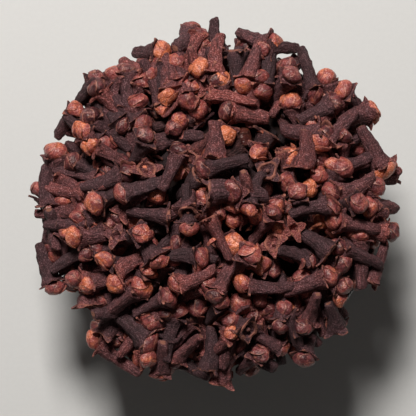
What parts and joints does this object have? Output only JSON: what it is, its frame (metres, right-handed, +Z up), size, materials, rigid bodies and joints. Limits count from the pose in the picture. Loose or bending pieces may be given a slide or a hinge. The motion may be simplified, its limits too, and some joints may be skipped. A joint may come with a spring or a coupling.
{
  "type": "bowl of whole cloves",
  "caption": "Small round clear glass bowl heaped over its rim with whole dried cloves.",
  "frame": {"origin": "centre of the bowl's flat underside", "axes": "+Z up out of the bowl's mouth, +X to the right and +Y away in the view from above"},
  "size_m": [0.0961, 0.0969, 0.0599],
  "materials": {
    "glass": "clear, polished",
    "clove": "matte, dry"
  },
  "bodies": {
    "root": {"bowl": "glass", "cloves": "clove"}
  },
  "joints": []
}
